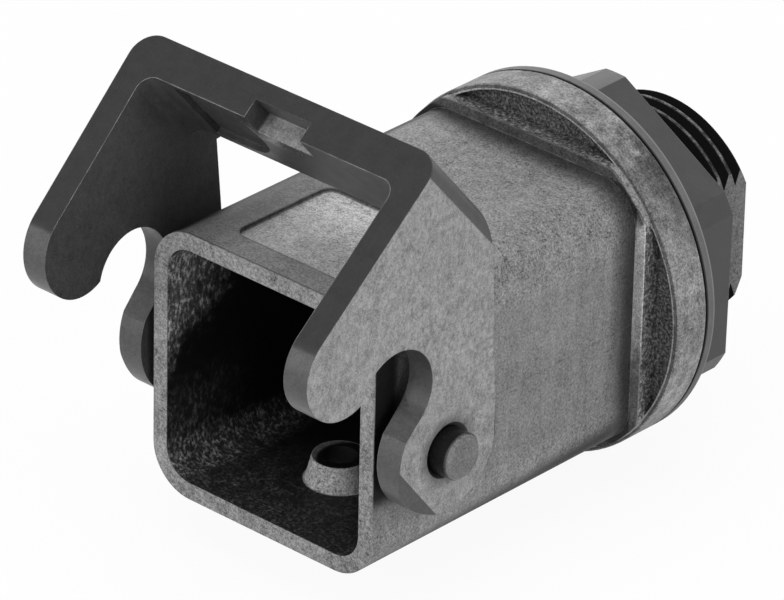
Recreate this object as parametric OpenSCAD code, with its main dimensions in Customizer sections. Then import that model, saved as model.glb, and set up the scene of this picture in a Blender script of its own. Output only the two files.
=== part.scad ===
// Square hood of a heavy duty rectangular connector for panel mounting.
// The hood has a round flange, a threaded stub with a locknut behind it,
// and a U-shaped locking lever that swings on two side pins.
//
// Frame: millimetres. The origin is the centre of the flange's rear face.
// -Y runs to the mating mouth, +Y to the cable end, +Z is the lever side.

// The one piece to build, or all of them

/* [Hood] */
// Outside width and height of the square tube
tube_w = 27; // [25:0.5:29]
// Rounding of the tube's outside corners
tube_corner_r = 4.5; // [3.5:0.25:6]
// Thickness of the tube's walls
wall_t = 1.65; // [1.2:0.05:2.2]
// Distance from the flange's rear face to the mouth
hood_len = 39.75; // [36:0.25:48]
// Solid depth between the cavity and the flange's rear face
back_wall_t = 6; // [5.5:0.25:8]

/* [Flange] */
// Diameter of the round flange
flange_d = 36; // [35.5:0.25:40]
// Thickness of the flange's rim
rim_t = 4.2; // [3:0.1:4.8]
// Width of the raised land that runs round the rim
rim_land = 0.55; // [0.4:0.05:1]
// Depth of the four hollow segments beside the collar
segment_depth = 1.2; // [0.6:0.1:1.8]
// Chamfer on the rim's two edges
rim_chamfer = 0.25; // [0.1:0.05:0.4]
// Width and height of the square collar round the tube
collar_w = 29; // [28:0.25:30]
// Rounding of the collar's corners
collar_corner_r = 5.5; // [4.5:0.25:6.5]
// Distance from the flange's rear face to the collar's front face
collar_front = 5.15; // [5:0.05:6]

/* [Panel stub] */
// Length of the threaded stub behind the flange
stub_len = 15.85; // [13:0.05:20]
// Outside diameter of the thread
thread_d = 22.3; // [20:0.1:23]
// Pitch of the thread
thread_pitch = 1.6; // [1.4:0.01:1.8]
// Depth of the thread
thread_depth = 0.95; // [0.5:0.05:1.1]
// Width of the flat on the thread's crests
crest_flat = 0.2; // [0.1:0.05:0.4]
// Distance from the stub's end to its last groove
last_groove = 1.55; // [1.2:0.05:2]
// Chamfer on the thread at the stub's end
end_chamfer = 1; // [0.5:0.05:1.1]
// Distance across the stub's two flats
stub_flats_w = 17.8; // [17:0.1:19]
// Diameter of the cable bore
cable_bore_d = 15.5; // [12:0.5:16]
// Chamfer at the cable bore's mouth
bore_chamfer = 0.4; // [0.2:0.05:0.8]

/* [Seal] */
// Diameter of the flat seal
seal_d = 36; // [35:0.25:38]
// Thickness of the flat seal
seal_t = 1; // [0.8:0.1:2]
// Room between the seal and the thread
seal_clear = 0.15; // [0.1:0.05:0.4]

/* [Locknut] */
// Distance across the nut's flats
nut_af = 29.6; // [28:0.1:32]
// Thickness of the nut
nut_t = 5.85; // [4:0.05:7]
// Diameter that the nut's corners are turned to
nut_turned_d = 32.9; // [32:0.1:34]
// Angle that the nut is turned by where it is tight
nut_turn = 0.6; // [-30:0.1:30]
// Room between the nut and the thread's crests
nut_clear = 0.05; // [0.02:0.01:0.1]
// Chamfer at both ends of the nut's bore
nut_bore_chamfer = 0.4; // [0.2:0.05:0.6]

/* [Label recess] */
// Width of the recess in the tube's top
label_w = 13.6; // [10:0.2:16]
// Length of the recess along the tube
label_len = 12.6; // [10:0.2:16]
// Depth of the recess
label_depth = 0.4; // [0.2:0.05:0.7]
// Rounding of the recess's corners
label_corner_r = 1.3; // [0.8:0.1:2]
// Distance from the mouth to the recess's middle
label_from_mouth = 9.5; // [9:0.25:14]

/* [Insert screw boss] */
// Distance from the mouth to the boss's axis
boss_from_mouth = 10.35; // [8:0.25:16]
// Radius of the boss where it meets the floor
boss_base_r = 3.2; // [2.8:0.1:4]
// Radius of the boss at its top
boss_top_r = 2.6; // [2.3:0.1:2.8]
// Height of the boss above the cavity's floor
boss_h = 2.4; // [1.5:0.1:3.5]
// Radius of the screw hole
screw_hole_r = 1.6; // [1.3:0.05:1.8]
// Radius of the seat for the screw's head
screw_seat_r = 3; // [2.5:0.1:3.5]
// Depth of the seat for the screw's head
screw_seat_depth = 0.5; // [0.3:0.05:0.8]

/* [Pivot pins] */
// Distance from the mouth to the pins' axis
pivot_from_mouth = 5.4; // [5:0.1:8]
// Height of the pins' axis above the tube's middle
pivot_z = -0.1; // [-1:0.1:1]
// Radius of the pins
pin_r = 2.25; // [2:0.05:2.6]
// Length of the pin that stands out of the lever
pin_proud = 2; // [0.8:0.05:2.5]
// Chamfer at the pins' ends
pin_chamfer = 0.4; // [0.2:0.05:0.8]
// Radius of the washer boss at the pins' roots
pin_root_r = 4; // [3.2:0.1:4.8]
// Radial room between pin and lever
pin_play = 0.05; // [0.02:0.01:0.1]

/* [Locking lever] */
// Gap between the tube's side and the lever's cheek beside the pivot
cheek_gap = 1.15; // [1:0.05:2]
// Room between the pins' washer boss and the cheek
cheek_play = 0.3; // [0.25:0.05:0.4]
// Thickness of the lever's cheeks beside the pivot
cheek_t = 2.75; // [2.2:0.05:3.2]
// Angle by which the cheeks open towards the crossbar
splay = 2; // [0:0.1:3]
// Angle by which the cheeks lean to one side in their play
lean = 1.3; // [0:0.1:1.5]
// How much thinner the cheeks are behind the crossbar
cheek_relief = 0.05; // [0.02:0.01:0.2]
// Chamfer on the inside of the cheeks' back edges
inside_chamfer = 0.5; // [0.2:0.1:1]
// Angle between the lever's front face and level
slope = 40.8; // [38:0.2:46]
// Distance from the pivot to the lever's front face
front_reach = 23.6; // [22.5:0.1:25]
// Distance up the slope from the pivot to the crossbar's top
bar_top = 17.95; // [17.5:0.1:19]
// Height of the crossbar's front face
bar_h = 3.75; // [3:0.05:4]
// Depth of the crossbar behind its front face
bar_depth = 10; // [8:0.1:10.1]
// Radius of the lobe round the pivot
lobe_r = 6.15; // [5.6:0.05:6.6]
// Lean of the cheeks' back edges
back_lean = 3.4; // [1:0.1:5]
// How far the noses' round stands below their straight inside
nose_bulge = 0.55; // [0.2:0.05:1]
// Distance down the slope from the pivot to the noses' centres
nose_drop = 1.6; // [1.2:0.1:2.5]
// Distance down the slope from the pivot to the ramps between lobes and hooks
ramp_drop = 2.25; // [1.5:0.05:3]
// How far the ramps' line runs inside the hooks' round
ramp_tuck = 0.02; // [0.01:0.01:0.1]
// Distance from the pivot to the hooks' centres
hook_reach = 10.45; // [10:0.05:10.8]
// Radius of the hooks that take the pegs of the other half
hook_r = 4.55; // [4.2:0.05:4.8]
// How far the hooks' round cuts past the noses' straight inside
throat_tuck = 0.35; // [0.2:0.05:0.8]
// Rounding of the lever's two upper corners
shoulder_r = 2.5; // [1.5:0.1:4]
// Rounding of the window's two upper corners
window_r = 1.5; // [1:0.1:2.5]
// Width of the tool notch in the crossbar
notch_w = 6.6; // [4:0.2:8]
// Height of the tool notch above the crossbar's underside
notch_h = 1.9; // [1:0.1:2.2]
// Depth of the tool notch
notch_depth = 2.8; // [1.5:0.1:3.5]
// Depth of the shallow dish in the crossbar's underside
dish_depth = 0.6; // [0.3:0.05:1]
// Width of the lip in front of the dish
dish_lip = 0.7; // [0.5:0.1:1.5]
// Chamfer round the pivot holes
pivot_chamfer = 0.4; // [0.2:0.05:0.6]
// Distance from the pivot to the bevel on the lobes
bevel_reach = 4.6; // [4.3:0.05:5.2]
// Direction of the bevel on the lobes
bevel_dir = 219; // [210:1:230]
// Tilt of the bevel on the lobes
bevel_tilt = 20; // [10:1:30]

/* [Hidden] */
$fn = 96;
eps = 0.01;
reach_all = 100;

mouth_y = -hood_len;
cavity_w = tube_w - 2 * wall_t;
cavity_corner_r = max(tube_corner_r - wall_t, 1);
cavity_floor_z = -cavity_w / 2;
flange_r = flange_d / 2;
segment_r = flange_r - rim_land;

crest_r = thread_d / 2;
root_r = crest_r - thread_depth;
thread_from = seal_t;
thread_to = stub_len - last_groove;
groove_count = floor((thread_to - thread_from) / thread_pitch);

pivot_y = mouth_y + pivot_from_mouth;
cheek_in_x = tube_w / 2 + cheek_gap;
cheek_out_x = cheek_in_x + cheek_t;
pin_end_x = cheek_out_x + pin_proud;
pin_root_x = cheek_in_x - cheek_play;

right_open = splay - lean;
left_open = splay + lean;
widest_x = cheek_out_x + bar_top * tan(left_open);

ramp_from = [-ramp_drop, sqrt(pow(lobe_r, 2) - pow(ramp_drop, 2))];
ramp_reach = norm([0, hook_reach] - ramp_from);
ramp_r = hook_r - ramp_tuck;
ramp_len = sqrt(pow(ramp_reach, 2) - pow(ramp_r, 2));
ramp_rise = atan2(hook_reach - ramp_from[1], ramp_drop) - asin(ramp_r / ramp_reach);
ramp_to = ramp_from + ramp_len * [cos(ramp_rise), sin(ramp_rise)];
throat_n = hook_reach + hook_r - throat_tuck;
nose_r = (front_reach - throat_n + nose_bulge) / 2;
nose_n = front_reach - nose_r;
nose_in_s = -nose_drop - sqrt(pow(nose_r, 2) - pow(nose_r - nose_bulge, 2));
hook_in_s = -sqrt(pow(hook_r, 2) - pow(hook_r - throat_tuck, 2));
back_turn = slope - back_lean;
back_run = (bar_top - lobe_r * cos(back_turn)) / sin(back_turn);
back_n = back_run * cos(back_turn) - lobe_r * sin(back_turn);
chamfer_run = back_run - shoulder_r / sin(back_turn) - 2 * inside_chamfer;
bar_under = bar_top - bar_h;
bar_back_n = front_reach - bar_depth;

housing_grey = [0.27, 0.27, 0.28];
lever_grey = [0.2, 0.2, 0.21];
seal_grey = [0.24, 0.24, 0.25];
nut_grey = [0.22, 0.22, 0.23];

// A rectangle with round corners, centred
module rounded_rect(w, h, r) {
    square([w - 2 * r, h], center = true);
    square([w, h - 2 * r], center = true);
    for (sx = [-1, 1], sy = [-1, 1])
        translate([sx * (w / 2 - r), sy * (h / 2 - r)])
            circle(r);
}

// A flat shape given thickness along Y, from y0 to y1
module along_y(y0, y1) {
    translate([0, y0, 0])
        rotate([-90, 0, 0])
            linear_extrude(height = y1 - y0)
                children();
}

// A cylinder or cone along Y, from y0 to y1
module rod_y(y0, y1, r0, r1) {
    translate([0, y0, 0])
        rotate([-90, 0, 0])
            cylinder(h = y1 - y0, r1 = r0, r2 = r1);
}

// A cylinder or cone along X on the +X side, from x0 to x1
module rod_x(x0, x1, r0, r1) {
    translate([x0, 0, 0])
        rotate([0, 90, 0])
            cylinder(h = x1 - x0, r1 = r0, r2 = r1);
}

// The children and their mirror image on the -X side
module both_sides() {
    children();
    mirror([1, 0, 0])
        children();
}

// One pivot pin with its washer boss, about its own axis
module pivot_pin() {
    rod_x(tube_w / 2 - wall_t / 2, pin_root_x, pin_root_r, pin_root_r);
    rod_x(tube_w / 2 - wall_t / 2, pin_end_x - pin_chamfer, pin_r, pin_r);
    rod_x(pin_end_x - pin_chamfer, pin_end_x, pin_r, pin_r - pin_chamfer);
}

// The round flange, its hollow segments and the square collar
module flange() {
    difference() {
        union() {
            rod_y(-rim_t, -rim_t + rim_chamfer, flange_r - rim_chamfer, flange_r);
            rod_y(-rim_t + rim_chamfer, -rim_chamfer, flange_r, flange_r);
            rod_y(-rim_chamfer, 0, flange_r, flange_r - rim_chamfer);
        }
        rod_y(-rim_t - eps, -rim_t + segment_depth, segment_r, segment_r);
    }
    intersection() {
        along_y(-collar_front, -eps)
            rounded_rect(collar_w, collar_w, collar_corner_r);
        rod_y(-collar_front, 0, flange_r - rim_chamfer, flange_r - rim_chamfer);
    }
}

// Half section of the threads: radius against length
function thread_section() = concat(
    [[0, -back_wall_t / 2], [crest_r, -back_wall_t / 2]],
    [for (i = [groove_count - 1 : -1 : 0])
        let (y = thread_to - i * thread_pitch)
        each [
            [crest_r, y - thread_pitch / 2 + crest_flat / 2],
            [root_r, y],
            [crest_r, y + thread_pitch / 2 - crest_flat / 2]
        ]
    ],
    [[crest_r, stub_len], [0, stub_len]]
);

// Half section of the stub's chamfered outside: radius against length
function chamfer_section() = [
    [0, -back_wall_t / 2],
    [crest_r, -back_wall_t / 2],
    [crest_r, stub_len - end_chamfer],
    [crest_r - end_chamfer, stub_len],
    [0, stub_len]
];

// The threaded stub with its two flats
module stub() {
    intersection() {
        rotate([-90, 0, 0])
            rotate_extrude()
                intersection() {
                    polygon(thread_section());
                    polygon(chamfer_section());
                }
        along_y(-back_wall_t / 2, stub_len)
            square([stub_flats_w, 2 * thread_d], center = true);
    }
}

// The boss on the cavity's floor that the insert's screw goes through
module screw_boss() {
    translate([0, mouth_y + boss_from_mouth, cavity_floor_z - wall_t / 2])
        cylinder(h = wall_t / 2, r = boss_base_r);
    translate([0, mouth_y + boss_from_mouth, cavity_floor_z])
        cylinder(h = boss_h, r1 = boss_base_r, r2 = boss_top_r);
}

// The screw hole and the seat for the screw's head
module screw_hole() {
    translate([0, mouth_y + boss_from_mouth, -tube_w / 2 - eps])
        cylinder(h = wall_t + boss_h + 2 * eps, r = screw_hole_r);
    translate([0, mouth_y + boss_from_mouth, -tube_w / 2 - eps])
        cylinder(h = screw_seat_depth + eps, r = screw_seat_r);
}

// The hood, flange and stub, one moulding
module housing() {
    color(housing_grey)
    difference() {
        union() {
            difference() {
                union() {
                    along_y(mouth_y, -rim_t / 2)
                        rounded_rect(tube_w, tube_w, tube_corner_r);
                    flange();
                    stub();
                }
                along_y(mouth_y - eps, -back_wall_t)
                    rounded_rect(cavity_w, cavity_w, cavity_corner_r);
            }
            screw_boss();
            both_sides()
                translate([0, pivot_y, pivot_z])
                    pivot_pin();
        }
        rod_y(-back_wall_t - eps, stub_len + eps, cable_bore_d / 2, cable_bore_d / 2);
        rod_y(stub_len - bore_chamfer, stub_len + eps, cable_bore_d / 2, cable_bore_d / 2 + bore_chamfer);
        screw_hole();
        translate([0, mouth_y + label_from_mouth, tube_w / 2 - label_depth])
            linear_extrude(height = label_depth + eps)
                rounded_rect(label_w, label_len, label_corner_r);
    }
}

// Side outline of a cheek, with the slope along x and the pivot at the origin
module cheek_outline() {
    difference() {
        union() {
            polygon([
                [-nose_drop, front_reach],
                [-nose_drop, nose_n],
                [nose_in_s, throat_n],
                [hook_in_s, throat_n],
                [0, hook_reach],
                [0, 0],
                [lobe_r * cos(back_turn), -lobe_r * sin(back_turn)],
                [bar_top, back_n],
                [bar_top, front_reach]
            ]);
            circle(lobe_r);
            translate([-nose_drop, nose_n])
                circle(nose_r);
        }
        translate([0, hook_reach])
            circle(hook_r);
        polygon([ramp_from, ramp_to, [0, hook_reach], [-ramp_drop, hook_reach]]);
    }
}

// An outline whose sides stand x0 out beside the pivot and open upward, and
// whose upper corners are round
module opening_outline(x0, top, r) {
    corner_s = top - r;
    right_x = x0 + corner_s * tan(right_open) - r / cos(right_open);
    left_x = x0 + corner_s * tan(left_open) - r / cos(left_open);
    polygon([
        [x0 - reach_all * tan(right_open), -reach_all],
        [right_x + r * cos(right_open), corner_s - r * sin(right_open)],
        [right_x, top],
        [-left_x, top],
        [-left_x - r * cos(left_open), corner_s - r * sin(left_open)],
        [-x0 + reach_all * tan(left_open), -reach_all]
    ]);
    translate([right_x, corner_s])
        circle(r);
    translate([-left_x, corner_s])
        circle(r);
}

// Front outline of the lever, with x across and y up the slope
module bow_outline() {
    difference() {
        opening_outline(cheek_out_x, bar_top, shoulder_r);
        opening_outline(cheek_in_x, bar_under, window_r);
    }
}

// The clear space between the cheeks behind the crossbar
module behind_bar() {
    low = bar_under - 2 * window_r;
    high = 2 * bar_top;
    half = cheek_in_x + cheek_relief;
    polygon([
        [-half - low * tan(left_open), low],
        [half + low * tan(right_open), low],
        [half + high * tan(right_open), high],
        [-half - high * tan(left_open), high]
    ]);
}

// The cut that chamfers the inside of one cheek's back edge
module inside_back_cut(opens) {
    side = inside_chamfer * sqrt(2);
    translate([cheek_in_x, 0, 0])
        rotate([0, 0, -opens])
            rotate([-back_turn, 0, 0])
                translate([0, lobe_r, 0])
                    rotate([0, 0, 45])
                        translate([-side, -side / 2, inside_chamfer])
                            cube([2 * side, 2 * side, chamfer_run]);
}

// The shallow dish in the crossbar's underside, beside the tool notch
module dish() {
    dish_w = bar_depth - 2 * dish_lip;
    translate([0, bar_under, bar_back_n + dish_lip + dish_w / 2])
        rotate([-90, 0, 0])
            linear_extrude(height = dish_depth)
                union() {
                    translate([-notch_w / 2 - dish_lip - dish_w / 2, 0])
                        circle(dish_w / 2);
                    translate([-cheek_in_x + window_r + dish_lip, -dish_w / 2])
                        square([cheek_in_x - window_r - notch_w / 2 - 2 * dish_lip - dish_w / 2, dish_w]);
                }
}

// The cut that bevels one lobe's outer face
module lobe_bevel() {
    translate([cheek_out_x, 0, 0])
        rotate([bevel_dir, 0, 0])
            translate([0, bevel_reach, 0])
                rotate([0, 0, bevel_tilt])
                    translate([0, -eps, -lobe_r])
                        cube([lobe_r, lobe_r, 2 * lobe_r]);
}

// The U-shaped lever, one moulding
module locking_lever() {
    color(lever_grey)
    translate([0, pivot_y, pivot_z])
        difference() {
            rotate([slope, 0, 0])
                difference() {
                    intersection() {
                        translate([-widest_x, 0, 0])
                            rotate([90, 0, 90])
                                linear_extrude(height = 2 * widest_x)
                                    cheek_outline();
                        translate([0, 0, -reach_all])
                            linear_extrude(height = 2 * reach_all)
                                bow_outline();
                    }
                    translate([0, 0, bar_back_n - reach_all])
                        linear_extrude(height = reach_all)
                            behind_bar();
                    inside_back_cut(right_open);
                    mirror([1, 0, 0])
                        inside_back_cut(left_open);
                    translate([-notch_w / 2, bar_under - eps, front_reach - notch_depth])
                        cube([notch_w, notch_h + eps, notch_depth + eps]);
                    dish();
                }
            both_sides() {
                rod_x(0, pin_end_x, pin_r + pin_play, pin_r + pin_play);
                rod_x(cheek_out_x - pivot_chamfer, cheek_out_x + pivot_chamfer,
                    pin_r + pin_play, pin_r + pin_play + 2 * pivot_chamfer);
                lobe_bevel();
            }
        }
}

// The flat seal behind the flange
module flange_seal() {
    color(seal_grey)
    along_y(0, seal_t)
        difference() {
            circle(seal_d / 2);
            circle(crest_r + seal_clear);
        }
}

// The hexagon locknut, tight against the seal
module locknut() {
    bore_r = crest_r + nut_clear;
    color(nut_grey)
    rotate([0, nut_turn, 0])
        difference() {
            intersection() {
                along_y(seal_t, seal_t + nut_t)
                    rotate(30)
                        circle(r = nut_af / 2 / cos(30), $fn = 6);
                rod_y(seal_t, seal_t + nut_t, nut_turned_d / 2, nut_turned_d / 2);
            }
            rod_y(seal_t - eps, seal_t + nut_t + eps, bore_r, bore_r);
            rod_y(seal_t - eps, seal_t + nut_bore_chamfer, bore_r + nut_bore_chamfer, bore_r);
            rod_y(seal_t + nut_t - nut_bore_chamfer, seal_t + nut_t + eps, bore_r, bore_r + nut_bore_chamfer);
        }
}

housing();
locking_lever();
flange_seal();
locknut();
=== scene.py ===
"""The rectangular connector's hood: materials, floor, light and camera round the CAD frame.

Each CAD node gets one material, whose marks are placed by the part's own measures in mm:
X across, Y from the mouth (-) to the stub's end (+), Z up. Some marks imitate the photograph's
shadows by place, and those don't move with the lamps or the lever.
"""
import math

import bpy
from mathutils import Matrix, Vector

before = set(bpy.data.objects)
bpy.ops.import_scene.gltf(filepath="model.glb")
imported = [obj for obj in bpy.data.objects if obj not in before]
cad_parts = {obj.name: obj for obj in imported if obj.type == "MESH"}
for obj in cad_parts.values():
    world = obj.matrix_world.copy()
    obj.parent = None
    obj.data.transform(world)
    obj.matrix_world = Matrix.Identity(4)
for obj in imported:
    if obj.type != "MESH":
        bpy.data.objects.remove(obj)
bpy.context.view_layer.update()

MM = 0.001
DEGREES = 57.3           # in a radian

# Tube and cavity
TUBE = 13.5              # half the tube's width
CORNER_R = 4.5           # its corners' radius
CORNER = TUBE - CORNER_R
INNER = 11.85            # half the cavity's width
MOUTH_Y = -39.75
BOSS_Y = -29.4           # the boss for the insert's screw
BOSS_R = 3.2
BOSS_TOP_R = 2.6
BOSS_TOP_Z = -9.45

# Label recess in the tube's top
RECESS_Y = -30.25
RECESS_Z = 13.1
RECESS_HALF_X = 6.8
RECESS_HALF_Y = 6.3
RECESS_R = 1.3

# Collar and flange
COLLAR = 14.5            # half the collar's width
COLLAR_Y = -5.15
RIM_Y = -4.2
SEGMENT_R = 17.45        # the round wall of the four hollows
SEGMENT_FLOOR_Y = -3.0

# Stub, seal and nut
CREST_R = 11.15
BORE_R = 7.75
STUB_FLAT = 8.9          # from the axis to a flat
STUB_END_Y = 15.85
SEAL_FRONT_Y = 0.0
SEAL_BACK_Y = 1.0
NUT_BACK_Y = 6.85

# Pins and lever
PIVOT_Y = -34.35
PIVOT_Z = -0.1
PIN_R = 2.25
PIN_END = 19.4
CHEEK_IN = 14.65         # from the middle to a cheek's inner face
REAR = -28.2             # the lever's rear edge at rest
SLOPE = math.radians(40.8)
FRONT = 23.6             # from the pivot out to the sloped front
BAR_TOP = 17.95          # from the pivot up along the slope
NOTCH_HALF = 3.3
NOTCH_DEPTH = 2.8


class Look:
    """A material's nodes, written as short sums. Lengths are in mm in the node's own frame.

    tone is the colour so far, a share of the light from 0 to 1, and paint lays a mark over it.
    """

    def __init__(self, name):
        self.material = bpy.data.materials.new(name)
        self.material.use_nodes = True
        self.nodes = self.material.node_tree.nodes
        self.links = self.material.node_tree.links
        self.nodes.clear()
        place = self.add("ShaderNodeTexCoord")
        scaled = self.add("ShaderNodeVectorMath", operation="SCALE", Vector=place.outputs["Object"])
        scaled.inputs["Scale"].default_value = 1.0 / MM
        self.mm = scaled.outputs[0]
        self.x, self.y, self.z = self.add("ShaderNodeSeparateXYZ", Vector=self.mm).outputs
        self.nx, self.ny, self.nz = self.add("ShaderNodeSeparateXYZ", Vector=place.outputs["Normal"]).outputs
        self.width = self.size(self.x)
        self.tone = 0.0
        self.round = None

    def add(self, kind, **values):
        node = self.nodes.new(kind)
        for key, value in values.items():
            if key in node.inputs:
                self.put(node.inputs[key], value)
            else:
                setattr(node, key, value)
        return node

    def put(self, socket, value):
        if isinstance(value, bpy.types.NodeSocket):
            self.links.new(value, socket)
        elif value is not None:
            socket.default_value = value

    def sum(self, operation, a, b=None):
        node = self.nodes.new("ShaderNodeMath")
        node.operation = operation
        for socket, value in zip(node.inputs, (a, b)):
            self.put(socket, value)
        return node.outputs[0]

    def chain(self, operation, values):
        result = values[0]
        for value in values[1:]:
            result = self.sum(operation, result, value)
        return result

    def plus(self, *values):
        return self.chain("ADD", values)

    def times(self, *values):
        return self.chain("MULTIPLY", values)

    def minus(self, a, b):
        return self.sum("SUBTRACT", a, b)

    def size(self, a):
        return self.sum("ABSOLUTE", a)

    def invert(self, a):
        return self.sum("SUBTRACT", 1.0, a)

    def most(self, a, b):
        return self.sum("MAXIMUM", a, b)

    def least(self, a, b):
        return self.sum("MINIMUM", a, b)

    def length(self, a, b):
        return self.sum("SQRT", self.plus(self.times(a, a), self.times(b, b)))

    def degrees(self, a, b):
        """The direction of (b, a), from -180 to 180 degrees."""
        return self.times(self.sum("ARCTAN2", a, b), DEGREES)

    def rise(self, value, low, high, at_low=0.0, at_high=1.0):
        """A soft step from at_low to at_high as value goes from low to high."""
        node = self.add("ShaderNodeMapRange", interpolation_type="SMOOTHSTEP")
        names = ("Value", "From Min", "From Max", "To Min", "To Max")
        for name, number in zip(names, (value, low, high, at_low, at_high)):
            self.put(node.inputs[name], number)
        return node.outputs[0]

    def within(self, value, low, high, soft=0.1):
        return self.times(self.rise(value, low - soft, low), self.rise(value, high, high + soft, 1.0, 0.0))

    def mix(self, factor, a, b):
        node = self.add("ShaderNodeMix", data_type="FLOAT")
        for socket, value in zip((node.inputs[0], node.inputs[2], node.inputs[3]), (factor, a, b)):
            self.put(socket, value)
        return node.outputs[0]

    def paint(self, mask, tone, strength=None):
        """Lays a mark of this tone over what is there, where the mask is 1."""
        if strength is not None:
            mask = self.times(mask, strength)
        self.tone = self.mix(mask, self.tone, tone)

    def noise(self, grain, detail=2.0, roughness=0.5, stretch=(1, 1, 1), move=0.0):
        """Noise whose patches are about grain mm across, between about 0.2 and 0.8."""
        where = self.mm
        if stretch != (1, 1, 1) or move:
            mapping = self.add("ShaderNodeMapping", Vector=where)
            mapping.inputs["Scale"].default_value = stretch
            mapping.inputs["Location"].default_value = (move, move * 0.7, -move)
            where = mapping.outputs[0]
        texture = self.add("ShaderNodeTexNoise", Vector=where)
        texture.inputs["Scale"].default_value = 1.0 / grain
        texture.inputs["Detail"].default_value = detail
        texture.inputs["Roughness"].default_value = roughness
        return texture.outputs[0]

    def swing(self, noise, amount):
        """The noise about 0, amount times as strong."""
        return self.times(self.minus(noise, 0.5), amount)

    def edges(self, radius):
        """1 on sharp edges, 0 on the faces. It also rounds the edges' shading."""
        bevel = self.add("ShaderNodeBevel", samples=6)
        bevel.inputs["Radius"].default_value = radius * MM
        geometry = self.add("ShaderNodeNewGeometry")
        dot = self.add("ShaderNodeVectorMath", operation="DOT_PRODUCT")
        self.put(dot.inputs[0], bevel.outputs[0])
        self.put(dot.inputs[1], geometry.outputs["True Normal"])
        self.round = bevel.outputs[0]
        return self.rise(dot.outputs["Value"], 0.997, 0.93)

    def unround(self, where):
        """Leaves the shading's rounded edges out where the factor is 1."""
        geometry = self.add("ShaderNodeNewGeometry")
        plain = self.add("ShaderNodeMix", data_type="VECTOR")
        values = (where, self.round, geometry.outputs["Normal"])
        for socket, value in zip((plain.inputs[0], plain.inputs[4], plain.inputs[5]), values):
            self.put(socket, value)
        self.round = plain.outputs[1]

    def finish(self, roughness, height, depth, specular):
        """Joins it all to one shader. height, in 0 to 1, is raised depth mm."""
        bump = self.add("ShaderNodeBump", Height=height)
        bump.inputs["Distance"].default_value = depth * MM
        bump.inputs["Strength"].default_value = 1.0
        self.put(bump.inputs["Normal"], self.round)
        shader = self.add("ShaderNodeBsdfPrincipled")
        self.put(shader.inputs["Base Color"], self.tone)
        self.put(shader.inputs["Roughness"], roughness)
        self.put(shader.inputs["Normal"], bump.outputs[0])
        shader.inputs["Specular IOR Level"].default_value = specular
        output = self.add("ShaderNodeOutputMaterial")
        self.links.new(shader.outputs[0], output.inputs[0])
        return self.material


# Housing

def tube_shadows(m):
    """Shadows imitated on the tube: its underside's corners, behind the hooks, before the collar.

    Returns the mask of the tube's rounded corners.
    """
    corner_x = m.minus(m.width, CORNER)
    corner_z = m.minus(m.size(m.z), CORNER)
    corner = m.times(
        m.rise(m.least(m.width, m.size(m.z)), CORNER - 3.0, CORNER + 0.5),
        m.before,
        m.rise(m.y, MOUTH_Y + 0.1, MOUTH_Y + 0.6),
        m.rise(m.length(corner_x, corner_z), CORNER_R - 0.2, CORNER_R - 0.1))
    # the shadow reaches further round the corner towards the collar
    turn = m.plus(m.degrees(corner_z, corner_x), m.times(m.plus(m.y, 20.0), 1.1))
    under = m.times(corner, m.rise(m.z, 0.0, -1.0), m.rise(turn, 4.0, 40.0))
    m.paint(under, tone=0.006)
    behind_hooks = m.times(
        m.rise(m.y, MOUTH_Y + 4.75, MOUTH_Y + 2.25),
        m.rise(m.z, -6.3, -4.5),
        m.rise(m.z, 12.0, 11.0),
        m.rise(m.width, TUBE - 0.2, TUBE - 0.1),
        m.rise(m.y, MOUTH_Y + 0.05, MOUTH_Y + 0.15))
    m.paint(behind_hooks, tone=0.004)
    near_collar = m.times(
        m.rise(m.y, COLLAR_Y - 4.05, COLLAR_Y - 0.6),
        m.before,
        m.rise(m.across, COLLAR - 0.7, COLLAR - 0.9))
    m.paint(near_collar, tone=0.028)
    return corner


def collar_edge(m):
    """The collar's front edge in painted shade, under a painted highlight that fades low down and on top."""
    band = m.times(
        m.within(m.y, COLLAR_Y - 0.1, COLLAR_Y + 0.2, 0.05),
        m.rise(m.across, TUBE - 0.1, TUBE + 0.1))
    # painted shade along the collar's front edge
    m.paint(band, tone=0.075)
    # a painted highlight over it, fading low down and on top
    off_corners = m.rise(m.plus(m.size(m.z), m.swing(m.cloud, 3.0)), 11.0, 9.5)
    upwards = m.rise(m.plus(m.z, m.swing(m.cloud, 8.0)), -6.0, 1.0, 0.15, 1.0)
    m.paint(m.times(band, off_corners, upwards), tone=0.48)


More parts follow.
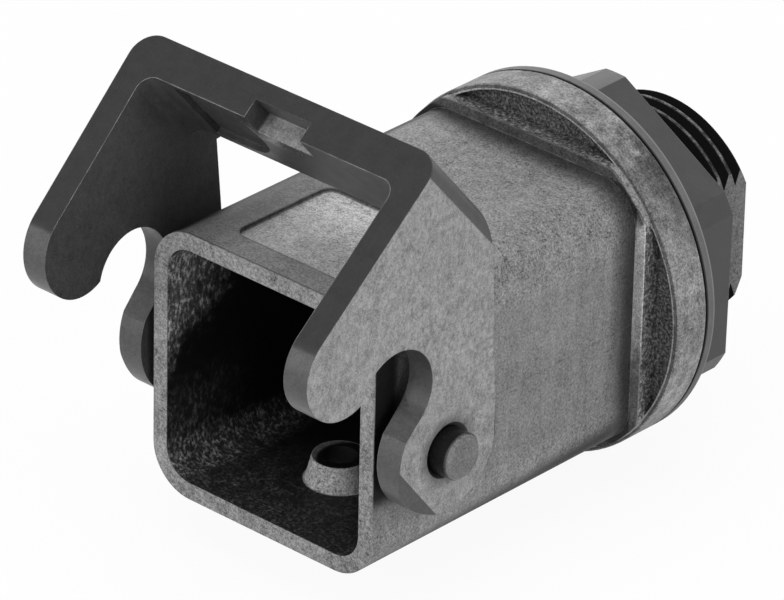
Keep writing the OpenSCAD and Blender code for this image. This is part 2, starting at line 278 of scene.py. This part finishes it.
def cavity(m):
    """Painted shade, nearly black, with speckled patches of painted light on the -X wall and the floor, and
    on the boss. Returns the cavity's mask.
    """
    hollow = m.times(
        m.rise(m.across, INNER + 0.3, INNER + 0.15),
        m.rise(m.y, MOUTH_Y + 0.02, MOUTH_Y + 0.12),
        m.rise(m.y, -3.0, -4.0))
    specks = m.noise(0.34, 3.0, 0.65, stretch=(1.0, 1.0, 0.55), move=41.0)
    spot = m.times(m.rise(specks, 0.42, 0.72), m.rise(m.cloud, 0.25, 0.6))
    inward = m.plus(m.y, 39.0)
    slanted = m.plus(m.minus(m.z, m.times(inward, 0.8)), m.swing(m.cloud, 10.0))
    upper = m.times(m.rise(m.x, -11.0, -11.7), m.rise(slanted, -2.0, 5.0), m.rise(m.y, -27.0, -34.0))
    from_streak = m.size(m.plus(m.z, 10.2, m.times(inward, 0.09)))
    streak = m.times(m.rise(from_streak, 2.4, 0.3), m.rise(m.y, -16.0, -30.0), m.rise(m.x, -8.0, -10.5))
    faint = m.times(m.rise(m.z, -1.0, -7.0), m.rise(m.y, -26.0, -38.0), m.rise(m.x, -9.0, -11.7), 0.3)
    lower = m.most(streak, faint)
    ground = m.times(m.rise(m.z, -11.0, -11.7), m.rise(m.y, -24.0, -38.0))
    # painted shade makes the cavity nearly black; speckled patches of painted light lift the upper -X wall, a
    # low streak and the floor
    black = m.plus(
        0.003,
        m.times(upper, m.plus(0.06, m.times(spot, 0.45))),
        m.times(lower, m.plus(0.016, m.times(spot, 0.24))),
        m.times(ground, m.plus(0.008, m.times(spot, 0.05))))
    # painted light on the boss, toned down on the left of its top
    from_boss = m.length(m.x, m.minus(m.y, BOSS_Y))
    boss = m.times(
        m.rise(m.z, BOSS_TOP_Z + 0.15, BOSS_TOP_Z),
        m.rise(from_boss, BOSS_R + 0.25, BOSS_R + 0.1),
        m.rise(from_boss, BOSS_TOP_R - 0.15, BOSS_TOP_R + 0.05))
    black = m.mix(boss, black, 0.30)
    boss_top = m.times(
        m.within(m.z, BOSS_TOP_Z - 0.05, BOSS_TOP_Z + 0.1, 0.05),
        m.rise(from_boss, BOSS_R + 0.1, BOSS_R),
        m.rise(m.plus(from_boss, m.times(m.x, -0.5)), 2.6, 3.2))
    black = m.mix(m.times(boss_top, 0.6), black, 0.14)
    m.paint(hollow, tone=black)
    return hollow


def flange(m):
    """The four hollows in painted shade, the land's line of painted highlight and line of painted shade, and
    the rim. Returns the hollows' mask.
    """
    segment = m.times(
        m.rise(m.y, COLLAR_Y + 0.12, COLLAR_Y + 0.2),
        m.rise(m.y, SEGMENT_FLOOR_Y + 0.3, SEGMENT_FLOOR_Y + 0.1),
        m.rise(m.across, COLLAR - 0.9, COLLAR - 0.85),
        m.rise(m.radius, SEGMENT_R + 0.1, SEGMENT_R + 0.03))
    # painted shade in the four hollows
    m.paint(segment, tone=m.plus(0.045, m.times(m.rise(m.speck, 0.35, 0.8), 0.18)))
    # the land's rounded edge: a line of painted highlight, then a line of painted shade
    front = m.within(m.y, RIM_Y - 0.05, RIM_Y + 0.25, 0.03)
    highlight_line = m.within(m.radius, SEGMENT_R - 0.05, SEGMENT_R + 0.13, 0.04)
    shade_line = m.within(m.radius, SEGMENT_R + 0.23, SEGMENT_R + 0.41, 0.04)
    m.paint(m.times(front, highlight_line), tone=0.36)
    m.paint(m.times(front, shade_line), tone=0.03, strength=0.8)
    rim = m.times(m.rise(m.radius, SEGMENT_R + 0.15, SEGMENT_R + 0.25), m.rise(m.y, RIM_Y - 0.1, RIM_Y))
    around = m.plus(m.degrees(m.z, m.x), m.swing(m.cloud, 40.0))
    shade = m.times(rim, m.within(around, 32.0, 52.0, 14.0), m.rise(m.y, RIM_Y + 0.6, RIM_Y + 3.2, 0.35, 0.9))
    m.paint(shade, tone=0.06)
    clouds = m.plus(m.swing(m.cloud, 1.2), m.swing(m.patch, 1.2))
    m.tone = m.times(m.tone, m.plus(1.0, m.times(rim, clouds)))
    return segment


def tube_top(m, corner):
    """The flat round the recess, painted shade on the left corner, the line behind the mouth, and the recess
    with painted shade on its walls.
    """
    on_top = m.rise(m.z, TUBE - 0.3, TUBE - 0.2)
    flat = m.times(
        on_top,
        m.rise(m.y, RECESS_Y + 10.25, RECESS_Y + 7.25),
        m.rise(m.y, MOUTH_Y + 0.1, MOUTH_Y + 0.3))
    m.paint(flat, tone=m.rise(m.x, -9.0, -4.0, 0.075, 0.125), strength=0.85)
    # painted shade on the top's left rounded corner
    left_corner_shade = m.times(
        corner,
        m.rise(m.x, 0.0, -1.0),
        m.rise(m.z, 0.0, 1.0),
        m.rise(m.z, TUBE - 0.05, TUBE - 0.4))
    m.paint(left_corner_shade, tone=0.008)
    mouth_line = m.times(on_top, m.within(m.y, MOUTH_Y + 0.12, MOUTH_Y + 0.3, 0.06))
    m.paint(mouth_line, tone=0.02, strength=0.7)
    # how far outside the recess's rounded outline
    past_x = m.most(m.minus(m.width, RECESS_HALF_X - RECESS_R), 0.0)
    past_y = m.most(m.minus(m.size(m.minus(m.y, RECESS_Y)), RECESS_HALF_Y - RECESS_R), 0.0)
    outside = m.minus(m.length(past_x, past_y), RECESS_R)
    floor = m.times(m.rise(outside, 0.02, -0.02), m.within(m.z, RECESS_Z - 0.1, RECESS_Z + 0.1, 0.05))
    m.paint(floor, tone=0.34)
    # painted shade on the recess's walls
    step = m.times(m.rise(m.size(outside), 0.22, 0.05), m.rise(m.z, RECESS_Z - 0.1, RECESS_Z - 0.05))
    m.paint(step, tone=0.03, strength=0.75)


def stub(m):
    """The stub's flats, the thread's crests, and the thread's grooves in painted shade, nearly black. Returns
    the masks of flats and grooves.
    """
    flat = m.times(
        m.rise(m.y, SEAL_BACK_Y + 0.2, SEAL_BACK_Y + 0.3),
        m.rise(m.width, STUB_FLAT - 0.04, STUB_FLAT))
    m.paint(flat, tone=0.11)
    thread = m.times(
        m.rise(m.y, NUT_BACK_Y + 0.05, NUT_BACK_Y + 0.15),
        m.rise(m.y, STUB_END_Y - 0.01, STUB_END_Y - 0.05))
    crest = m.times(
        thread,
        m.rise(m.radius, CREST_R - 0.13, CREST_R - 0.03),
        m.rise(m.radius, CREST_R + 0.15, CREST_R + 0.05))
    m.paint(crest, tone=m.rise(m.cloud, 0.4, 0.7, 0.01, 0.12))
    # painted shade, nearly black, in the thread's grooves
    groove = m.times(
        thread,
        m.rise(m.radius, CREST_R - 0.03, CREST_R - 0.13),
        m.rise(m.radius, BORE_R + 0.25, BORE_R + 0.35),
        m.rise(m.width, STUB_FLAT - 0.02, STUB_FLAT - 0.06))
    m.paint(groove, tone=0.0008)
    return flat, groove


def pins(m):
    """The pivot pins' nearly black sides and their ends. Returns the sides' mask."""
    from_pivot = m.length(m.minus(m.y, PIVOT_Y), m.minus(m.z, PIVOT_Z))
    pin = m.rise(from_pivot, PIN_R + 0.35, PIN_R + 0.25)
    side = m.times(
        m.rise(m.width, CHEEK_IN - 0.25, CHEEK_IN - 0.15),
        m.rise(m.width, PIN_END - 0.1, PIN_END - 0.4),
        pin)
    m.paint(side, tone=0.008)
    end = m.times(m.rise(m.width, PIN_END - 0.4, PIN_END - 0.2), pin)
    m.paint(end, tone=0.125)
    return side


def parting_line(m):
    """A faint line half way up the sides, behind the lever."""
    from_line = m.size(m.plus(m.z, 0.2, m.swing(m.cloud, 0.15)))
    line = m.times(
        m.rise(from_line, 0.12, 0.03),
        m.rise(m.across, TUBE - 0.3, TUBE - 0.1),
        m.rise(m.y, REAR - 0.8, REAR + 0.2))
    m.paint(line, tone=0.07, strength=0.3)


def housing_look():
    """A rough dark grey moulding, lighter on its sharp edges by wear and painted highlight."""
    m = Look("housing_moulded")
    m.grain = m.noise(0.16, 1.0, 0.5)
    m.speck = m.noise(0.3, 3.0, 0.65, move=21.0)
    m.cloud = m.noise(1.3, 3.0, 0.6, move=11.0)
    m.patch = m.noise(6.0, 2.0, 0.5, stretch=(1.0, 0.35, 1.0), move=4.0)
    flow = m.noise(1.0, 2.0, 0.5, stretch=(1.0, 1.0, 0.16), move=4.0)
    m.across = m.most(m.width, m.size(m.z))
    m.radius = m.length(m.x, m.z)
    m.before = m.rise(m.y, COLLAR_Y + 0.12, COLLAR_Y + 0.05)   # before the collar
    edge = m.edges(0.14)

    m.tone = 0.175
    corner = tube_shadows(m)
    collar_edge(m)
    hollow = cavity(m)
    segment = flange(m)
    tube_top(m, corner)
    flat, groove = stub(m)
    pin_side = pins(m)
    parting_line(m)

    # the mottle, calmer on the flat sides
    mottle = m.plus(
        m.swing(m.grain, 1.9),
        m.swing(m.speck, 2.0),
        m.swing(m.cloud, 0.7),
        m.swing(m.patch, 0.6),
        m.swing(flow, 0.8))
    calm = m.times(m.rise(m.width, TUBE - 0.2, TUBE - 0.05), m.rise(m.size(m.z), CORNER, 7.0), m.before)
    m.tone = m.times(m.tone, m.plus(1.0, m.times(mottle, m.mix(calm, 1.0, 0.75))), m.mix(calm, 1.0, 0.93))
    # wear and painted highlight lighten the sharp edges
    edge_wear_and_highlight = m.times(edge, m.rise(m.cloud, 0.3, 0.7))
    for no_edge_lightening in (hollow, groove, segment, flat):
        edge_wear_and_highlight = m.times(edge_wear_and_highlight, m.invert(no_edge_lightening))
    m.paint(edge_wear_and_highlight, tone=0.3, strength=0.45)

    m.unround(hollow)
    rough = m.plus(0.55, m.swing(m.speck, 0.35))
    rough = m.mix(groove, rough, 0.95)
    rough = m.mix(pin_side, rough, 0.2)
    height = m.plus(m.times(m.grain, 0.45), m.times(m.speck, 0.55))
    return m.finish(rough, height, depth=0.05, specular=0.14)


# Lever, nut and seal

def lever_look():
    """A dark satin moulding, with painted light and shade by the way each face turns, and light, mottled
    outer faces on its cheeks.
    """
    m = Look("lever_moulded")
    grain = m.noise(0.17, 1.0, 0.5, move=3.0)
    speck = m.noise(0.45, 3.0, 0.6, stretch=(1.0, 1.0, 0.7), move=31.0)
    cloud = m.noise(1.6, 3.0, 0.55, move=7.0)
    edge = m.edges(0.14)
    mottled = m.plus(1.0, m.swing(grain, 1.3), m.swing(speck, 1.5), m.swing(cloud, 0.8))
    uneven = m.plus(1.0, m.swing(cloud, 0.4), m.swing(grain, 1.0), m.swing(speck, 0.8))

    # from the pivot: along goes up the sloped front, out goes towards its face
    pivot_y = m.minus(m.y, PIVOT_Y)
    pivot_z = m.minus(m.z, PIVOT_Z)
    along = m.plus(m.times(pivot_y, math.cos(SLOPE)), m.times(pivot_z, math.sin(SLOPE)))
    out = m.minus(m.times(pivot_z, math.cos(SLOPE)), m.times(pivot_y, math.sin(SLOPE)))
    from_pivot = m.length(pivot_y, pivot_z)
    face = m.rise(out, FRONT - 0.15, FRONT - 0.05)
    side = m.times(m.nx, m.sum("SIGN", m.x))   # 1 on the cheeks' outer faces, -1 on their inner ones
    outer = m.rise(side, 0.975, 0.99)
    inner = m.rise(side, -0.85, -0.95)

    # satin, with painted light and shade by the way each face turns: darkest on the front and the rear,
    # lighter on the edges between them and more so below the pivot, on the inner faces, and most on the
    # bevels
    rearward = m.plus(m.ny, m.times(m.nz, 0.6))
    between = m.rise(along, 3.0, -3.0, 0.042, 0.052)
    satin = m.times(m.mix(face, m.rise(rearward, 0.2, 0.7, between, 0.014), 0.011), uneven)
    satin = m.mix(inner, satin, m.times(0.043, uneven))
    bevel = m.times(m.within(side, 0.22, 0.5, 0.06), m.rise(m.z, -3.0, -4.0), m.rise(m.ny, 0.0, -0.2))
    satin = m.mix(bevel, satin, m.times(0.10, mottled))

    # the outer faces: light, with painted shade in a ring round the pin's hole and a thin line of painted
    # shadow at the rear
    light = m.times(0.205, mottled)
    light = m.mix(m.times(m.rise(from_pivot, 4.0, 2.6), 0.55), light, 0.05)
    light = m.mix(m.rise(m.y, REAR - 0.14, REAR - 0.08), light, 0.01)
    m.tone = m.mix(outer, satin, light)

    notch_floor = m.times(
        m.rise(m.width, NOTCH_HALF + 0.05, NOTCH_HALF - 0.05),
        m.within(out, FRONT - NOTCH_DEPTH - 0.1, FRONT - NOTCH_DEPTH + 0.15, 0.1),
        m.rise(along, 12.0, 13.0),
        m.rise(along, BAR_TOP - 0.15, BAR_TOP - 0.35))
    m.paint(notch_floor, tone=m.times(0.18, mottled))

    # sharp edges are lighter by wear and painted highlight, most of all round the opening in the front
    opening = m.times(m.rise(m.width, 16.2, 15.6), m.rise(along, 16.0, 15.5), face)
    edge_wear_and_highlight = m.times(edge, m.rise(side, -0.95, -0.85), m.rise(cloud, 0.35, 0.7, 0.4, 1.0))
    m.paint(edge_wear_and_highlight, tone=m.mix(opening, 0.15, 0.32), strength=m.mix(opening, 0.3, 0.85))

    # glossier: two bands in each hook, and the lip under the notch
    hook = m.times(
        m.rise(m.size(side), 0.7, 0.5),
        m.rise(from_pivot, 8.8, 8.5),
        m.rise(along, 10.0, 9.0),
        m.rise(m.y, -33.0, -35.0))
    bands = m.plus(m.times(m.rise(m.z, 2.48, 2.58), m.rise(m.z, 3.7, 2.9)), m.within(m.z, 4.9, 5.2, 0.6))
    lip = m.times(
        m.within(m.x, -3.0, -0.5, 3.5),
        m.rise(out, FRONT - 5.5, FRONT - 3.5),
        m.rise(out, FRONT - 0.1, FRONT - 0.3),
        m.rise(along, 15.4, 14.9))
    rough = m.plus(m.mix(outer, 0.38, 0.56), m.swing(cloud, 0.25))
    rough = m.mix(m.most(m.times(hook, bands), lip), rough, 0.16)

    m.unround(inner)
    height = m.times(m.plus(m.times(grain, 0.5), m.times(speck, 0.5)), m.mix(outer, 0.3, 1.0))
    return m.finish(rough, height, depth=0.04, specular=0.31)


def nut_look():
    """A smooth dark moulding, lighter on its edges by wear and painted highlight."""
    m = Look("nut_moulded")
    grain = m.noise(0.16, 2.0, 0.55, move=5.0)
    cloud = m.noise(2.2, 3.0, 0.55, move=9.0)
    edge = m.edges(0.12)
    m.tone = m.times(0.029, m.plus(1.0, m.swing(grain, 0.6), m.swing(cloud, 0.7)))
    # wear and painted highlight on the edges
    m.paint(m.times(edge, m.rise(cloud, 0.3, 0.7, 0.3, 1.0)), tone=0.2, strength=0.4)
    return m.finish(m.plus(0.45, m.swing(cloud, 0.3)), grain, depth=0.015, specular=0.4)


def seal_look():
    """Grey rubber, with painted shadow where it meets the flange and a painted highlight at its rear edge."""
    m = Look("seal_rubber_look")
    grain = m.noise(0.14, 2.0, 0.55, move=2.0)
    cloud = m.noise(1.8, 2.0, 0.55, move=13.0)
    m.tone = m.times(0.09, m.plus(1.0, m.swing(grain, 0.6), m.swing(cloud, 0.7)))
    # painted shadow where the seal meets the flange
    m.paint(m.rise(m.y, SEAL_FRONT_Y + 0.22, SEAL_FRONT_Y + 0.1), tone=0.006)
    # painted highlight along the rear edge
    m.paint(m.rise(m.y, SEAL_BACK_Y - 0.2, SEAL_BACK_Y - 0.08), tone=0.2, strength=0.6)
    return m.finish(m.plus(0.62, m.swing(cloud, 0.2)), grain, depth=0.012, specular=0.3)


LOOKS = {
    "housing": housing_look(),
    "locking_lever": lever_look(),
    "flange_seal": seal_look(),
    "locknut": nut_look(),
}
for node, look in LOOKS.items():
    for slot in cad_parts[node].material_slots:
        slot.material = look


# Camera: at the photograph's viewing angle, aimed from the middle of the mouth

AZIMUTH = math.radians(42.193)
ELEVATION = math.radians(28.324)
ROLL = math.radians(1.274)
FOCAL = 7380.8           # focal length, in pixels
SCALE = 11.248           # pixels to a mm at the mouth
SHIFT = (-11.527, -9.144)   # of the mouth's middle from the picture's middle, in mm
IMAGE_WIDTH = 784
SENSOR = 36


def photo_camera():
    back = Vector((
        math.sin(AZIMUTH) * math.cos(ELEVATION),
        -math.cos(AZIMUTH) * math.cos(ELEVATION),
        math.sin(ELEVATION)))
    level_right = Vector((math.cos(AZIMUTH), math.sin(AZIMUTH), 0))
    level_up = back.cross(level_right)
    right = level_right * math.cos(ROLL) + level_up * math.sin(ROLL)
    up = -level_right * math.sin(ROLL) + level_up * math.cos(ROLL)
    turn = Matrix((right, up, back)).transposed()
    place = turn @ Vector((-SHIFT[0], -SHIFT[1], FOCAL / SCALE)) + Vector((0, MOUTH_Y, 0))
    data = bpy.data.cameras.new("camera")
    data.sensor_width = SENSOR
    data.lens = FOCAL * SENSOR / IMAGE_WIDTH
    data.clip_start = 0.01
    data.clip_end = 20
    camera = bpy.data.objects.new("camera", data)
    camera.matrix_world = Matrix.Translation(place * MM) @ turn.to_4x4()
    bpy.context.scene.collection.objects.link(camera)
    bpy.context.scene.camera = camera


photo_camera()


# Floor and background: plain white to the camera, reflections and clear things

FLOOR_Z = -18.3
FLOOR_HALF = 1.5         # m
WHITE = (1, 1, 1, 1)


def plain_white(tree, lit, shown, output):
    """Joins lit to the output, and shown in its place for what the camera, gloss and glass see."""
    path = tree.nodes.new("ShaderNodeLightPath")
    seen = path.outputs["Is Camera Ray"]
    for ray in ("Is Glossy Ray", "Is Transmission Ray"):
        most = tree.nodes.new("ShaderNodeMath")
        most.operation = "MAXIMUM"
        tree.links.new(seen, most.inputs[0])
        tree.links.new(path.outputs[ray], most.inputs[1])
        seen = most.outputs[0]
    mix = tree.nodes.new("ShaderNodeMixShader")
    tree.links.new(seen, mix.inputs[0])
    tree.links.new(lit.outputs[0], mix.inputs[1])
    tree.links.new(shown.outputs[0], mix.inputs[2])
    end = tree.nodes.new(output)
    tree.links.new(mix.outputs[0], end.inputs[0])


def white_floor():
    """A floor whose look is mostly its own white, so that it keeps a faint shadow."""
    material = bpy.data.materials.new("floor_white")
    material.use_nodes = True
    tree = material.node_tree
    tree.nodes.clear()
    lit = tree.nodes.new("ShaderNodeBsdfDiffuse")
    lit.inputs["Color"].default_value = (0.7, 0.7, 0.7, 1)
    glow = tree.nodes.new("ShaderNodeEmission")
    glow.inputs["Strength"].default_value = 1.0
    shown = tree.nodes.new("ShaderNodeMixShader")
    shown.inputs[0].default_value = 0.93
    tree.links.new(lit.outputs[0], shown.inputs[1])
    tree.links.new(glow.outputs[0], shown.inputs[2])
    plain_white(tree, lit, shown, "ShaderNodeOutputMaterial")

    mesh = bpy.data.meshes.new("floor")
    signs = ((-1, -1), (1, -1), (1, 1), (-1, 1))
    corners = [(x * FLOOR_HALF, y * FLOOR_HALF, FLOOR_Z * MM) for x, y in signs]
    mesh.from_pydata(corners, [], [(0, 1, 2, 3)])
    mesh.materials.append(material)
    floor = bpy.data.objects.new("floor", mesh)
    bpy.context.scene.collection.objects.link(floor)
    return floor


def white_world():
    world = bpy.data.worlds.new("world")
    world.use_nodes = True
    tree = world.node_tree
    tree.nodes.clear()
    backgrounds = []
    for strength in (0.36, 1.0):   # as light, and as it is shown
        background = tree.nodes.new("ShaderNodeBackground")
        background.inputs["Color"].default_value = WHITE
        background.inputs["Strength"].default_value = strength
        backgrounds.append(background)
    plain_white(tree, *backgrounds, "ShaderNodeOutputWorld")
    bpy.context.scene.world = world


floor = white_floor()
white_world()
bpy.context.scene.view_settings.view_transform = "Standard"


# Lamps: sizes and places in m, power in W

MIDDLE = Vector((0, -0.018, 0))


def softbox(name, place, size, power):
    """A rectangular lamp that faces the hood."""
    lamp = bpy.data.lights.new(name, "AREA")
    lamp.shape = "RECTANGLE"
    lamp.size, lamp.size_y = size
    lamp.energy = power
    holder = bpy.data.objects.new(name, lamp)
    holder.location = place
    holder.rotation_euler = (MIDDLE - Vector(place)).to_track_quat("-Z", "Y").to_euler()
    bpy.context.scene.collection.objects.link(holder)


softbox("softbox_top", (0.05, -0.05, 0.55), (0.55, 0.55), 2.3)
softbox("softbox_right", (0.55, -0.05, 0.16), (0.45, 0.45), 1.9)
softbox("softbox_rear", (-0.4, 0.42, 0.22), (0.45, 0.45), 1.2)
softbox("softbox_front", (-0.12, -0.58, 0.2), (0.45, 0.4), 2.4)
